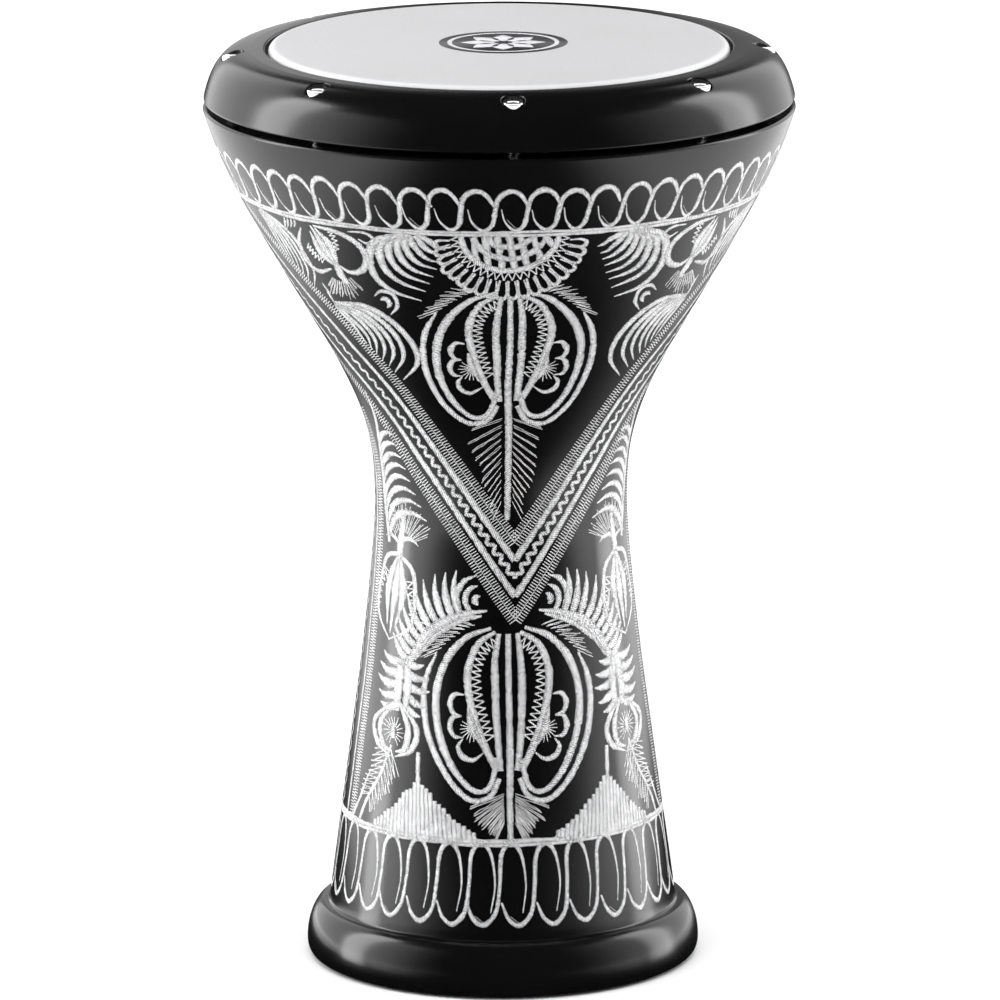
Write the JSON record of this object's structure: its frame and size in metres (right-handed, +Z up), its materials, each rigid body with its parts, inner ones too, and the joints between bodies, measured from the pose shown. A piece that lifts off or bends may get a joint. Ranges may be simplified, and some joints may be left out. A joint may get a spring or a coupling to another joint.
{
  "type": "darbuka",
  "caption": "Large goblet drum with an engraved black cast shell, a white film head and a screwed tuning collar; stands on its round foot",
  "frame": {"origin": "centre of the foot's rest face, at the bottom of the drum's box", "axes": "+Z up along the drum's axis towards the head, -Y towards the front"},
  "size_m": [0.2776, 0.2776, 0.438],
  "materials": {
    "black_lacquer": "gloss",
    "bare_aluminium": "bright cut",
    "white_film": "satin",
    "chrome_screw": "polished",
    "zinc_washer": "satin",
    "brass_insert": "machined"
  },
  "bodies": {
    "shell": {"goblet_shell": "black_lacquer", "head_film": "white_film", "thread_insert_1": "brass_insert", "thread_insert_2": "brass_insert", "thread_insert_3": "brass_insert", "thread_insert_4": "brass_insert", "thread_insert_5": "brass_insert", "thread_insert_6": "brass_insert", "thread_insert_7": "brass_insert", "thread_insert_8": "brass_insert"},
    "collar": {"tuning_collar": "black_lacquer", "head_hoop": "bare_aluminium", "screw_washer_1": "zinc_washer", "screw_washer_2": "zinc_washer", "screw_washer_3": "zinc_washer", "screw_washer_4": "zinc_washer", "screw_washer_5": "zinc_washer", "screw_washer_6": "zinc_washer", "screw_washer_7": "zinc_washer", "screw_washer_8": "zinc_washer"},
    "screw_1": {"tuning_screw_1": "chrome_screw"},
    "screw_2": {"tuning_screw_2": "chrome_screw"},
    "screw_3": {"tuning_screw_3": "chrome_screw"},
    "screw_4": {"tuning_screw_4": "chrome_screw"},
    "screw_5": {"tuning_screw_5": "chrome_screw"},
    "screw_6": {"tuning_screw_6": "chrome_screw"},
    "screw_7": {"tuning_screw_7": "chrome_screw"},
    "screw_8": {"tuning_screw_8": "chrome_screw"}
  },
  "joints": [
    {"name": "collar_tuning_slide", "type": "slide", "parent": "shell", "child": "collar", "axis": [0, 0, 1], "range_m": [0, 0.003]},
    {"name": "screw_1_turn", "type": "hinge", "parent": "collar", "child": "screw_1", "pos_m": [0.0063, -0.12434, 0.428], "axis": [0, 0, 1], "range_deg": [0, 1080]},
    {"name": "screw_2_turn", "type": "hinge", "parent": "collar", "child": "screw_2", "pos_m": [0.09238, -0.08347, 0.428], "axis": [0, 0, 1], "range_deg": [0, 1080]},
    {"name": "screw_3_turn", "type": "hinge", "parent": "collar", "child": "screw_3", "pos_m": [0.12434, 0.0063, 0.428], "axis": [0, 0, 1], "range_deg": [0, 1080]},
    {"name": "screw_4_turn", "type": "hinge", "parent": "collar", "child": "screw_4", "pos_m": [0.08347, 0.09238, 0.428], "axis": [0, 0, 1], "range_deg": [0, 1080]},
    {"name": "screw_5_turn", "type": "hinge", "parent": "collar", "child": "screw_5", "pos_m": [-0.0063, 0.12434, 0.428], "axis": [0, 0, 1], "range_deg": [0, 1080]},
    {"name": "screw_6_turn", "type": "hinge", "parent": "collar", "child": "screw_6", "pos_m": [-0.09238, 0.08347, 0.428], "axis": [0, 0, 1], "range_deg": [0, 1080]},
    {"name": "screw_7_turn", "type": "hinge", "parent": "collar", "child": "screw_7", "pos_m": [-0.12434, -0.0063, 0.428], "axis": [0, 0, 1], "range_deg": [0, 1080]},
    {"name": "screw_8_turn", "type": "hinge", "parent": "collar", "child": "screw_8", "pos_m": [-0.08347, -0.09238, 0.428], "axis": [0, 0, 1], "range_deg": [0, 1080]}
  ],
  "couplings": [
    {"joint": "screw_1_turn", "follows": "collar_tuning_slide", "rad_per_m": 6283.2},
    {"joint": "screw_2_turn", "follows": "collar_tuning_slide", "rad_per_m": 6283.2},
    {"joint": "screw_3_turn", "follows": "collar_tuning_slide", "rad_per_m": 6283.2},
    {"joint": "screw_4_turn", "follows": "collar_tuning_slide", "rad_per_m": 6283.2},
    {"joint": "screw_5_turn", "follows": "collar_tuning_slide", "rad_per_m": 6283.2},
    {"joint": "screw_6_turn", "follows": "collar_tuning_slide", "rad_per_m": 6283.2},
    {"joint": "screw_7_turn", "follows": "collar_tuning_slide", "rad_per_m": 6283.2},
    {"joint": "screw_8_turn", "follows": "collar_tuning_slide", "rad_per_m": 6283.2}
  ]
}
